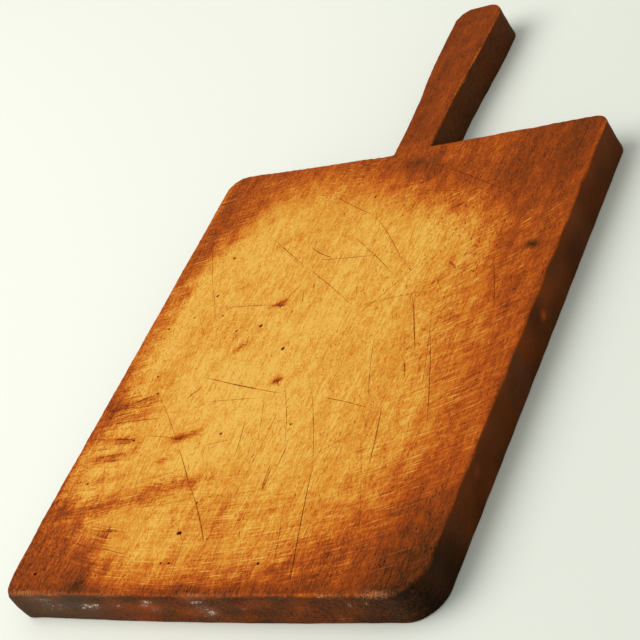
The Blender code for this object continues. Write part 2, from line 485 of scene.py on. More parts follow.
def side_surface():
    """Profile carried along the outline. From the underside up: a quarter round, the upright side,
    a quarter round at the upper arris and a last narrow ring on the face. The side is dished along
    half a sine wave and carries tool marks, which are deeper in end grain. The near left corner is
    squarer than the outline by a parabola in height, most of all half-way up."""
    wear = arris_wear(edge_x, edge_y)
    low_wear = (LOW_WEAR + LOW_VARIATION * ripples(edge_x, edge_y, 14 * MM, seed=23)) * MM
    mark_depth = TOOL_MARKS + END_GRAIN_MARKS * np.abs(outward[:, 1])
    quarter = np.linspace(0, math.pi / 2, ARRIS_STEPS + 1)
    corner = hill(edge_x, edge_y, BLADE_LEFT + 3.5 * MM, NEAR_END + 3.5 * MM, 5.5 * MM, 5.5 * MM)
    grid = []

    def add_ring(reach, height):
        """Outline moved outwards by the reach, plus what the near left corner is squarer."""
        level = height / PLANK_TOP
        squarer = corner * (3.2 - 1.1 * level + 5.6 * level * (1 - level)) * MM
        grid.append(np.column_stack([outline + outward * (squarer + reach)[:, None], height]))

    for angle in quarter[::-1]:
        add_ring(-low_wear * (1 - math.cos(angle)), low_wear * (1 - math.sin(angle)))
    side_top = face_height(edge_x, edge_y) - wear
    for share in np.linspace(0, 1, SIDE_ROWS + 2)[1:-1]:
        height = low_wear + (side_top - low_wear) * share
        marks = ripples(edge_x + edge_y, height, 7 * MM, seed=24) * mark_depth
        swell = math.sin(math.pi * share)
        add_ring(-(SIDE_DISH + marks * swell * 0.8) * swell * MM, height)
    for angle in quarter:
        add_ring(-wear * (1 - math.cos(angle)), np.full(len(outline), PLANK_TOP))
        on_face = face_height(grid[-1][:, 0], grid[-1][:, 1])
        grid[-1][:, 2] = on_face - wear * (1 - math.sin(angle))
    add_ring(-wear - FACE_RING * MM, np.full(len(outline), PLANK_TOP))
    grid[-1][:, 2] = face_height(grid[-1][:, 0], grid[-1][:, 1])
    return np.array(grid)


def lean_near_end(points):
    """The near end leans: its lower edge bows out, while its upper edge is nearly straight. Points
    near the end slide along Y by a parabola in X that fades with height, and the corners of the
    lower edge draw back a little."""
    x, y, z = points[..., 0], points[..., 1], points[..., 2]
    across = 1 - (x / BLADE_RIGHT) ** 2
    level = np.clip(z / PLANK_TOP, 0, 1)
    bow_out = 0.6 * across * (1 - 0.55 * level)
    draw_back = 0.25 * (1 - across) * (1 - level)
    fade = smooth_step(NEAR_END + 40 * MM, NEAR_END, y)
    moved = points.copy()
    moved[..., 1] = y + NEAR_END_BOW * (draw_back - bow_out) * fade
    return moved


def ring_faces(rows, columns):
    """Quads between neighbouring rings of a grid that closes on itself along its columns."""
    row, column = np.meshgrid(np.arange(rows - 1), np.arange(columns), indexing="ij")
    after = (column + 1) % columns
    here = row * columns
    above = here + columns
    return np.stack([here + column, here + after, above + after, above + column], axis=-1).reshape(-1, 4)


side_grid = side_surface()
side_faces = ring_faces(*side_grid.shape[:2])


# ------------------------------------------------------------------ closing the two faces
# The upper and lower faces are filled with points on an even grid plus rows of points along
# each groove and round each hole, joined into triangles that keep those rows as edges.
TOP_STEP = 1.9 * MM
UNDERSIDE_STEP = 5.0 * MM
GUARD = 0.22 * MM  # loose points this far outside a groove keep its shading off the flat face
HOLE_GUARD = 0.25 * MM
ROW_SPACING = 0.87  # shares of the grid's step
NUDGE = 0.08
RING_CLEARANCE = 0.35
SAME_PLACE = 1e-7
BLOCK = 2000  # points tried against a ring at one time


def inside_ring(points, ring, clearance):
    """Which points lie inside a closed ring and at least the clearance away from it: a point is
    inside where a ray from it crosses the ring an odd number of times. Works through the points
    in blocks, each against the whole ring at once."""
    start_x, start_y = ring.T
    end_x, end_y = np.roll(ring, -1, axis=0).T
    rise = np.where(end_y == start_y, 1, end_y - start_y)
    kept = []
    for block in np.array_split(points, len(points) // BLOCK + 1):
        x, y = block[:, 0:1], block[:, 1:2]
        spans = (start_y > y) != (end_y > y)
        crossing = start_x + (y - start_y) * (end_x - start_x) / rise
        inside = np.sum(spans & (x < crossing), axis=1) % 2 == 1
        nearest = np.hypot(x - start_x, y - start_y).min(axis=1)
        kept.append(inside & (nearest > clearance))
    return np.concatenate(kept)


def scattered_grid(low, high, step, seed):
    """Even grid of points with every other row shifted by half a step and each point nudged."""
    xs = np.arange(low[0], high[0], step)
    ys = np.arange(low[1], high[1], step * ROW_SPACING)
    grid_x, grid_y = np.meshgrid(xs, ys)
    grid_x = grid_x + (np.arange(len(ys)) % 2)[:, None] * step / 2
    points = np.stack([grid_x.ravel(), grid_y.ravel()], axis=1)
    return points + np.random.default_rng(seed).normal(0, step * NUDGE, points.shape)


def groove_lines(marks):
    """Lines to keep as edges for each groove, its centre and its two lips, and the loose guard
    points just outside the lips."""
    lines, loose = [], []
    for mark in marks:
        centre, share = cut_centre(mark)
        run = np.gradient(centre, axis=0)
        sideways = np.stack([-run[:, 1], run[:, 0]], axis=1) / np.linalg.norm(run, axis=1)[:, None]
        reach = (mark[5] / 2 * cut_taper(share))[:, None]
        lines += [centre, centre + sideways * reach, centre - sideways * reach]
        guard = reach[1:-1] + GUARD
        loose += [centre[1:-1] + sideways[1:-1] * guard, centre[1:-1] - sideways[1:-1] * guard]
    return lines, loose


def hole_rings(holes):
    """Closed rings to keep as edges for each hole: its mouth and its floor, and a loose ring just
    outside the mouth."""
    angle = np.linspace(0, math.tau, HOLE_SIDES + 1)
    circle = np.stack([np.cos(angle), np.sin(angle)], axis=1)
    mouths = [hole[:2] + circle * hole[2:] / 2 for hole in holes]
    floors = [hole[:2] + circle * hole[2:] / 2 * HOLE_FLOOR for hole in holes]
    loose = [hole[:2] + circle[:-1] * (hole[2:] / 2 + HOLE_GUARD) for hole in holes]
    return mouths + floors, loose


def fill_face(ring, marks, holes, step, seed):
    """Triangles over the inside of a ring, which keep the ring, the grooves and the holes as
    edges. Returns flat points and triangles."""
    lines, loose = groove_lines(marks)
    rings, more_loose = hole_rings(holes)
    spread = scattered_grid(ring.min(axis=0), ring.max(axis=0), step, seed)
    loose = np.vstack([spread, *loose, *more_loose])
    loose = loose[inside_ring(loose, ring, step * RING_CLEARANCE)]
    points = [ring, loose]
    count = len(ring) + len(loose)
    edges = [np.stack([np.arange(len(ring)), np.roll(np.arange(len(ring)), -1)], axis=1)]
    for line in lines + rings:
        points.append(line)
        edges.append(count + np.stack([np.arange(len(line) - 1), np.arange(1, len(line))], axis=1))
        count += len(line)
    flat = np.vstack(points)
    inside_only = 1
    corners = [Vector(point) for point in flat.tolist()]
    result = delaunay_2d_cdt(corners, np.vstack(edges).tolist(), [], inside_only, SAME_PLACE)
    return np.array([tuple(corner) for corner in result[0]]), np.array(result[2])


def wholly_inside(marks, ring):
    """Leaves out the marks that would run over the edge of the face or too near it."""
    lines = [cut_centre(mark)[0] for mark in marks]
    owner = np.repeat(np.arange(len(marks)), [len(line) for line in lines])
    outside = ~inside_ring(np.vstack(lines), ring, EDGE_MARGIN)
    return np.delete(marks, owner[outside], axis=0)


top_ring = side_grid[-1, :, :2]
knife_marks = wholly_inside(knife_marks, top_ring)
pale_marks = wholly_inside(pale_marks, top_ring)
all_marks = np.vstack([knife_marks, pale_marks])
top_flat, top_faces = fill_face(top_ring, all_marks, beetle_holes, TOP_STEP, seed=31)
top_x, top_y = top_flat.T
groove_depth, groove_mark = cut_profile(top_x, top_y, knife_marks)
scratch_depth, scratch_mark = cut_profile(top_x, top_y, pale_marks)
dirt_left = np.clip(0.68 + 0.26 * ripples(top_x, top_y, 8 * MM, seed=61), 0.4, 0.9)
groove_mark = groove_mark * dirt_left
hole_depth, hole_painted_shade = hole_profile(top_x, top_y, beetle_holes)
top_height = face_height(top_x, top_y) - np.maximum(groove_depth + scratch_depth, hole_depth)
top_points = np.column_stack([top_flat, top_height])

# The underside was cut on now and then.
UNDERSIDE_MARKS = np.array([
    (-90, 60, -20, 30, 1.0, 0.5, 0.25),
    (10, 90, 70, 20, -1.5, 0.5, 0.25),
    (-60, -30, 30, -60, 1.0, 0.5, 0.25),
    (40, -40, 80, -120, 0.8, 0.5, 0.25),
    (-100, -80, -40, -130, 0.8, 0.45, 0.2),
    (-70, 130, -30, 80, 0.6, 0.45, 0.2),
    (60, 130, 100, 90, 0.6, 0.45, 0.2),
]) * MM
UNDERSIDE_HOLES = np.array([
    (-64, 22, 1.6, 1.5),
    (-22, 4, 1.5, 1.5),
    (35, -70, 1.7, 1.5),
    (88, 40, 1.5, 1.4),
    (-101, -57, 1.6, 1.5),
    (12, 118, 1.5, 1.4),
]) * MM

low_ring = side_grid[0, :, :2]
low_flat, low_faces = fill_face(low_ring, UNDERSIDE_MARKS, UNDERSIDE_HOLES, UNDERSIDE_STEP, seed=32)
low_x, low_y = low_flat.T
low_groove, low_groove_mark = cut_profile(low_x, low_y, UNDERSIDE_MARKS)
low_hole, low_hole_painted_shade = hole_profile(low_x, low_y, UNDERSIDE_HOLES)
low_points = np.column_stack([low_flat, np.maximum(low_groove, low_hole)])

# ------------------------------------------------------------------ wear, dirt, marks and painted shade
# The scrubbed middle is pale gold, and old oil darkens the wood towards the edges and on the
# grip. These masks say how worn, dirty or marked the wood is at each point of the mesh, and
# where shade is painted in.

# Where scrubbing ends, in millimetres: y and then x of the left and right limits, and x and then
# y of the near and far limits.
WORN_LEFT = [(-164, -68), (-146, -83), (-126, -98), (-110, -114), (-92, -135), (-66, -138), (-46, -132),
             (-26, -130), (-6, -135), (34, -135), (74, -130), (94, -117), (114, -104), (134, -98),
             (300, -92)]
WORN_RIGHT = [(-164, 26), (-146, 48), (-126, 75), (-106, 89), (-86, 93), (-66, 97), (-46, 94), (-20, 90),
              (14, 88), (54, 86), (84, 87), (104, 80), (124, 60), (144, 24), (300, 0)]
WORN_NEAR = [(-140, -124), (-90, -138), (-70, -149), (-35, -156), (-5, -150), (30, -151), (55, -147),
             (80, -134), (140, -114)]
WORN_FAR = [(-140, 132), (-90, 142), (-50, 141), (-30, 136), (-10, 134), (10, 127), (30, 118), (60, 114),
            (90, 96), (140, 70)]
# Where the soft step across each limit starts and ends, measured inwards from its line.
LEFT_SOFT = (-18 * MM, 20 * MM)
RIGHT_SOFT = (-48 * MM, 44 * MM)
NEAR_SOFT = (-24 * MM, 30 * MM)
FAR_SOFT = (-28 * MM, 30 * MM)
STAINS = [
    # x, y, half length, half width, turn in degrees, strength, where below 0 is paler
    (-60, -94.5, 33, 6.5, 13, 0.30),
    (-46, -88.5, 15, 3.5, 8, 0.14),
    (-102, -103, 20, 6.5, 4, 0.24),
    (-102, -107, 13, 7, 0, 0.10),
    (-62.5, -56, 10.5, 2.9, 13, 0.46),
    (-56, -53, 6, 3, 24, 0.16),
    (-69, -72.5, 6, 2, 14, 0.22),
    (-84, -121, 9, 3, -2, 0.20),
    (-84, -125, 3, 8, 0, 0.18),
    (-82, -144, 4, 14, -4, 0.12),
    (-84, -157, 5, 5, 0, 0.16),
    (-116, -28, 18, 4.6, 14, 0.30),
    (-115, -38.5, 18, 4.4, 8, 0.30),
    (-113, -55.5, 16, 3.2, -2, 0.31),
    (-113, -68, 14, 3.2, 7, 0.34),
    (-110, -52, 14, 36, 0, 0.05),
    (-132, 34, 8, 14, 0, 0.06),
    (-112, 155, 13, 9, 0, 0.07),
    (-108, -84, 16, 5, 8, 0.12),
    (-110, -10, 14, 7, 8, 0.10),
    (-137, -14, 6, 20, 0, 0.08),
    (-78, 60, 20, 5, 15, 0.07),
    (-72, 26, 22, 14, 0, 0.08),
    (-40, -6, 18, 9, -6, -0.05),
    (-55, 97, 12, 7, 20, 0.08),
    (62, 40, 20, 8, 55, 0.06),
    (-12.6, -19, 4.8, 2.7, 24, 0.26),
    (-39.6, 43, 5.2, 2.6, 15, 0.25),
    (-54, 10.2, 5.4, 2.3, 45, 0.28),
    (6, 20, 60, 8, -6, -0.03),
    (-44, -26, 44, 16, -6, -0.04),
    (-28, 10, 34, 60, 0, -0.025),
    (52, -30, 30, 70, 0, 0.025),
    (24, 142, 34, 9, -14, 0.08),
    (18, 149, 14, 7, 0, 0.08),
    (93, 132, 7, 30, 0, 0.06),
    (124, 146, 5, 22, 0, 0.09),
    (106, 90, 6, 24, 0, 0.03),
    (123.4, 63.8, 4.0, 2.3, -12, 0.43),
    (109.5, 66, 3.4, 8, 0, 0.13),
    (112, -98, 8, 16, 20, 0.04),
    (62, 105, 12, 4, 18, 0.08),
    (-40, 116, 84, 14, 0, 0.04),
    (70, -78, 20, 24, 0, 0.03),
    # oil gathered at the edges and corners
    (138, -155, 27, 48, 0, 0.27),
    (-130, -154, 40, 26, 0, 0.12),
    (120, 148, 36, 46, 0, 0.10),
    (0, -164, 160, 8, 0, 0.19),
    (-6, -161, 26, 8, 0, 0.08),
    (2, -114, 64, 19, 0, 0.16),
    # and places that were rubbed paler
    (112, -30, 22, 60, 0, -0.05),
    (-100, 158, 70, 24, 0, -0.05),
    (-138, 122, 7, 50, 0, -0.11),
    (-124, 116, 16, 34, 0, -0.06),
    (92, -126, 28, 12, 0, -0.05),
]
CRUSTS = [
    # spots of pale dried dirt on the near end: x, height, half length, half height, strength
    (-80, 12.6, 2.6, 0.9, 0.95),
    (-73, 13.2, 2.0, 0.7, 0.85),
    (-84, 11, 1.6, 0.8, 0.70),
    (-77, 12, 8, 3, 0.34),
    (-56, 13, 1.8, 1.0, 0.50),
    (-33.5, 17, 3.6, 1.1, 1.00),
    (-37.5, 14, 2.4, 0.9, 0.80),
    (-32, 11, 5, 4, 0.26),
    (-104, 12, 16, 6, 0.24),
    (-114, 18, 8, 1.6, 0.24),
    (4, 10, 8, 7, 0.32),
    (1, 17, 4, 1.2, 0.60),
    (7, 8, 2.4, 1.4, 0.50),
    (-2, 20.4, 2.6, 0.6, 0.70),
    (9, 20.6, 1.8, 0.6, 0.60),
    (84, 21.6, 1.6, 0.6, 0.90),
    (97, 15, 1.0, 1.6, 0.60),
    (86, 4, 1.6, 1.0, 0.55),
    (60, 20.6, 8, 0.6, 0.30),
    (108, 16, 1.2, 0.9, 0.60),
    (30, 12, 1.6, 1.0, 0.45),
]
SPLINTERS = [
    # bare wood where the near arris broke: x, height, half length, half height, strength
    (-121, 21.4, 12, 1.6, 0.70),
    (-98, 21.4, 12, 1.6, 0.42),
    (-64, 21.4, 14, 1.6, 0.26),
    (0, 21.4, 8, 1.6, 0.35),
    (20, 21.4, 22, 1.6, 0.18),
    (90, 21.4, 8, 1.6, 0.30),
    (115, 21.4, 8, 1.6, 1.00),
]
NEAR_END_TONES = [
    # lighter and darker places on the near end: x, height, half length, half height, shift
    (-24, 8, 26, 9, 0.06),
    (-56, 10, 42, 6, 0.07),
    (19, 10, 6, 4, -0.13),
    (-88, 15, 16, 4, -0.10),
]
RIGHT_SIDE_TONES = [
    # the same on the right side, where it was knocked: y, height, half length, half height, shift
    (20, 12, 2.5, 2.5, 0.30),
    (34, 13, 16, 5, 0.05),
    (-85, 15, 3, 2.5, 0.12),
]
OILED_TONE = 0.48
SCRUBBED_GAIN = 0.45
GRIP_OIL = 0.10
SIDE_TONE = 0.185
# painted shade on the sides: darker low down near the floor, lighter high up
SIDE_PAINTED_SHADE_GAIN = 0.06
NEAR_END_GAIN = 0.085
NEAR_RIGHT_GAIN = 0.03
RIGHT_SIDE_GAIN = 0.035
# Painted shadow just under the near end's upper arris: a dark line on the side.
PAINTED_SHADOW_LINE = (3.0 * MM, 0.9 * MM, 0.09)  # depth under the arris, half width, strength
BLACK_CORNERS = [
    # x, y, reach along x, reach along y, strength
    (138, -164, 20, 32, 0.18),
    (-140, -164, 9, 9, 0.11),
]
LOW_EDGE_TONE = 0.36
UNDERSIDE_TONE = 0.42
UNDERSIDE_DIRT = 0.15
SCRATCH_PALENESS = 5


def scrubbed(x, y):
    """How far the surface is scrubbed bare, 0 to 1: the product of four soft steps, one across each
    limit of scrubbing. Each limit's line is joined up straight between its points."""
    uneven = 3 * MM * ripples(x, y, 16 * MM, seed=41)
    left = x - MM * np.interp(y / MM, *np.transpose(WORN_LEFT)) + uneven
    right = MM * np.interp(y / MM, *np.transpose(WORN_RIGHT)) - x + uneven
    near = y - MM * np.interp(x / MM, *np.transpose(WORN_NEAR)) + uneven
    far = MM * np.interp(x / MM, *np.transpose(WORN_FAR)) - y + uneven
    across = smooth_step(*LEFT_SOFT, left) * smooth_step(*RIGHT_SOFT, right)
    return across * smooth_step(*NEAR_SOFT, near) * smooth_step(*FAR_SOFT, far)


def tone(x, y):
    """Tone of the upper face, from 0, black with old oil, to 1, bare: a step from oiled to scrubbed
    wood, less the stains, less the oil on the grip, plus small soft hills."""
    bare = OILED_TONE + SCRUBBED_GAIN * scrubbed(x, y)
    bare = bare - GRIP_OIL * smooth_step(SHOULDER - 10 * MM, SHOULDER + 20 * MM, y)
    for stain_x, stain_y, half_length, half_width, turn, strength in STAINS:
        angle = math.radians(turn)
        apart_x, apart_y = x - stain_x * MM, y - stain_y * MM
        along = apart_x * math.cos(angle) + apart_y * math.sin(angle)
        across = apart_y * math.cos(angle) - apart_x * math.sin(angle)
        bare = bare - strength * hill(along, across, 0, 0, half_length * MM, half_width * MM)
    return np.clip(bare + 0.025 * ripples(x, y, 9 * MM, stretch=1.5, seed=42), 0, 1)


def spots(along, height, table):
    """Sum of the round hills of a table whose rows give place, reach and strength, in millimetres."""
    total = np.zeros(np.shape(along))
    for *sizes, strength in table:
        total = total + strength * hill(along, height, *np.array(sizes) * MM)
    return total


def side_tone(x, y, z):
    """Tone of the sides: nearly black at the lower arris and at the two near corners, darker low down
    as painted shade near the floor, lighter on the near end, with a painted shadow line under its
    arris, and lighter where the right side was knocked."""
    near_end = smooth_step(NEAR_END + 8 * MM, NEAR_END + 3 * MM, y)
    right = smooth_step(134 * MM, 137 * MM, x)
    line_depth, line_width, line_strength = PAINTED_SHADOW_LINE
    end_shift = NEAR_END_GAIN * smooth_step(118 * MM, 80 * MM, x)
    end_shift = end_shift + NEAR_RIGHT_GAIN * smooth_step(60 * MM, 90 * MM, x)
    end_shift = end_shift + 0.05 * ripples(x, z, 26 * MM, stretch=0.5, seed=51)
    end_shift = end_shift + spots(x, z, NEAR_END_TONES)
    # painted shadow line just under the near end's arris
    end_shift = end_shift - line_strength * np.exp(-((z - PLANK_TOP + line_depth) / line_width) ** 2)
    right_shift = RIGHT_SIDE_GAIN * smooth_step(-140 * MM, -95 * MM, y)
    right_shift = right_shift + 0.03 * ripples(y, z, 34 * MM, stretch=0.5, seed=52)
    right_shift = right_shift + spots(y, z, RIGHT_SIDE_TONES)
    # painted shade: the sides darken towards the floor and lighten towards the top
    painted_low_shade = SIDE_PAINTED_SHADE_GAIN * (np.clip(z / PLANK_TOP, 0, 1) - 0.45)
    return SIDE_TONE + painted_low_shade - spots(x, y, BLACK_CORNERS) + near_end * end_shift + right * right_shift


def side_dirt(x, y):
    """Share of grey-green dirt on the sides: most at the left of the near end, little on the right."""
    near_end = smooth_step(NEAR_END + 8 * MM, NEAR_END + 3 * MM, y)
    left_part = smooth_step(-45 * MM, -85 * MM, x)
    share = 0.12 + near_end * (0.03 + 0.52 * left_part) - 0.08 * smooth_step(130 * MM, 137 * MM, x)
    return np.clip(share + 0.10 * ripples(x, y, 20 * MM, seed=54), 0, 1)


def crust(x, y, z):
    """Pale dried dirt on the near end: soft spots, only on the side that faces the cook."""
    facing = smooth_step(NEAR_END + 5 * MM, NEAR_END + 3 * MM, y)
    return np.clip(spots(x, z, CRUSTS), 0, 1) * facing


def splinters(x, y, z):
    """Bare wood along the near upper arris."""
    return spots(x, z, SPLINTERS) * smooth_step(NEAR_END + 6 * MM, NEAR_END + 3 * MM, y)


# Share of side and of arris in each ring of the side surface: the lower quarter round, the upright
# side, the upper quarter round, and the last ring, which lies on the face.
quarter_turn = np.linspace(0, math.pi / 2, ARRIS_STEPS + 1)
upright = np.ones(SIDE_ROWS)
ring_side = np.concatenate([np.sin(quarter_turn), upright, np.cos(quarter_turn), [0]])
ring_arris = np.concatenate([0 * quarter_turn, 0 * upright, np.sin(2 * quarter_turn), [0]])
side_points = side_grid.reshape(-1, 3)
side_x, side_y, side_z = side_points.T
share_side = np.repeat(ring_side, len(outline))
share_arris = np.repeat(ring_arris, len(outline)) * (side_z > PLANK_TOP / 2)

# Hands and cloths rub the upper arris paler, but not at the near right corner, and most along the
# right of the grip.
rubbed = 0.13 + 0.07 * ripples(side_x, side_y, 18 * MM, seed=53)
rubbed = share_arris * (rubbed + 0.06 * ripples(side_x, side_y, 4 * MM, seed=55))
rubbed = rubbed * (1 - hill(side_x, side_y, 137 * MM, -160 * MM, 20 * MM, 20 * MM))
right_of_grip = (side_x > GRIP_MIDDLE) * smooth_step(172 * MM, 200 * MM, side_y)
rubbed = rubbed * (1 + 0.9 * right_of_grip)
face_tone = np.where(side_z > PLANK_TOP / 2, tone(side_x, side_y), LOW_EDGE_TONE)
around_tone = share_side * side_tone(side_x, side_y, side_z) + (1 - share_side) * face_tone + rubbed
underside_tone = UNDERSIDE_TONE + 0.06 * ripples(low_x, low_y, 45 * MM, seed=43)

all_points = np.vstack([side_points, top_points, low_points])
no_side, no_top, no_low = np.zeros(len(side_x)), np.zeros(len(top_x)), np.zeros(len(low_x))
masks = {
    "tone": [around_tone, tone(top_x, top_y), underside_tone],
    "side": [share_side, no_top, no_low],
    # the mark mask holds dirt in the cuts, and painted shade inside the beetle holes
    "mark": [no_side, np.maximum(groove_mark, hole_painted_shade), np.maximum(low_groove_mark, low_hole_painted_shade)],
    "dirt": [share_side * side_dirt(side_x, side_y), no_top, no_low + UNDERSIDE_DIRT],
    "crust": [crust(side_x, side_y, side_z), no_top, no_low],
    "pale": [splinters(side_x, side_y, side_z), scratch_mark * SCRATCH_PALENESS, no_low],
}


# ------------------------------------------------------------------ the board in one mesh
# Blade and grip are one plank with no joint, so the sides and the two faces are joined into one
# closed skin. The masks ride on its points.
MERGE_DISTANCE = 0.002 * MM
SHARPEST_SMOOTH = math.radians(38)


def board_mesh():
    """One closed mesh: the side surface and the two filled faces share the points of their rings,
    which are merged. The lower face is turned over to face down."""
    points = np.clip(lean_near_end(all_points), plank_low, plank_high)
    mesh = bpy.data.meshes.new("worn_board")
    first_top = len(side_points)
    first_low = first_top + len(top_points)
    faces = side_faces.tolist()
    faces += (top_faces + first_top).tolist()
    faces += (low_faces[:, ::-1] + first_low).tolist()
    mesh.from_pydata(points, [], faces)
    for name, values in masks.items():
        layer = mesh.attributes.new(name, "FLOAT", "POINT")
        layer.data.foreach_set("value", np.clip(np.concatenate(values), 0, 1).astype(np.float32))
    solid = bmesh.new()
    solid.from_mesh(mesh)
    bmesh.ops.remove_doubles(solid, verts=solid.verts, dist=MERGE_DISTANCE)
    solid.to_mesh(mesh)
    solid.free()
    mesh.shade_smooth()
    mesh.set_sharp_from_angle(angle=SHARPEST_SMOOTH)
    return mesh


# ------------------------------------------------------------------ the finish of the old wood
# Close-grained hardwood, beech by its short dark flecks. One scale of tones runs from wood black
# with oil through red-brown and orange to bare gold, and everything shifts along that scale.
TONES = [
    (0.00, (0.010, 0.0045, 0.0020)),
    (0.12, (0.041, 0.0130, 0.0033)),
    (0.25, (0.116, 0.0270, 0.0044)),
    (0.38, (0.226, 0.0425, 0.0055)),
    (0.50, (0.354, 0.0635, 0.0072)),
    (0.62, (0.492, 0.1050, 0.0104)),
    (0.74, (0.595, 0.1870, 0.0200)),
    (0.86, (0.664, 0.2840, 0.0360)),
    (0.95, (0.730, 0.3630, 0.0550)),
    (1.00, (0.775, 0.4450, 0.0920)),
]
TORN_WOOD = (0.46, 0.29, 0.15, 1)
DIRT = (0.075, 0.046, 0.026, 1)
CRUST = (0.66, 0.52, 0.42, 1)


class Nodes:
    """A node tree, with short ways to add the nodes that a finish is made of. Each takes sockets
    or plain numbers and gives back the socket to use next."""

    def __init__(self, tree):
        self.tree = tree
        self.shader = tree.nodes["Principled BSDF"]

    def add(self, kind, inputs, output=0, **settings):
        """A node with these inputs and settings."""
        made = self.tree.nodes.new(kind)
        for name, value in settings.items():
            setattr(made, name, value)
        for name, value in inputs.items():
            self.feed(made.inputs[name], value)
        return made.outputs[output]

    def feed(self, socket, value):
        """Links a socket, or sets it to a plain number."""
        if isinstance(value, bpy.types.NodeSocket):
            self.tree.links.new(value, socket)
        else:
            socket.default_value = value

    def fold(self, operation, values):
        """The first value, then each further one worked in with the same operation."""
        result = values[0]
        for value in values[1:]:
            result = self.add("ShaderNodeMath", {0: result, 1: value}, operation=operation)
        return result

    def sum(self, *values):
        """All values added."""
        return self.fold("ADD", values)

    def times(self, *values):
        """All values multiplied."""
        return self.fold("MULTIPLY", values)

    def less(self, *values):
        """The first value less all the others."""
        return self.fold("SUBTRACT", values)

    def between(self, value, low, high):
        """Rises smoothly from 0 at low to 1 at high."""
        return self.add("ShaderNodeMapRange", {"Value": value, "From Min": low, "From Max": high},
                        interpolation_type="SMOOTHSTEP")

    def vector(self, operation, inputs, output=0):
        """One operation on vectors."""
        return self.add("ShaderNodeVectorMath", dict(enumerate(inputs)), output, operation=operation)

    def x_and_y(self, vector):
        """X and Y of a vector as two sockets."""
        return self.add("ShaderNodeSeparateXYZ", {0: vector}).node.outputs[:2]

    def noise(self, place, scale, detail=2.0, roughness=0.5):
        """Noise of mean 0.5 whose coordinates are first multiplied by a scale along each axis."""
        stretched = self.vector("MULTIPLY", (place, scale))
        return self.add("ShaderNodeTexNoise", {"Vector": stretched, "Scale": 1.0, "Detail": detail,
                        "Roughness": roughness}, output="Fac")

    def swing(self, value, amount):
        """Turns noise of mean 0.5 into a shift of mean 0 and the given size."""
        return self.times(self.less(value, 0.5), amount)

    def mix(self, share, first, second):
        """Colour that goes from the first to the second with the share."""
        return self.add("ShaderNodeMix", {0: share, 6: first, 7: second}, output=2, data_type="RGBA")

    def clamp(self, value):
        """Value held between 0 and 1."""
        return self.add("ShaderNodeClamp", {"Value": value})

    def mask(self, name):
        """Mask of the mesh with this name."""
        return self.add("ShaderNodeAttribute", {}, output="Fac", attribute_name=name)

    def object_place(self):
        """Place on the object, in metres."""
        return self.add("ShaderNodeTexCoord", {}, output="Object")


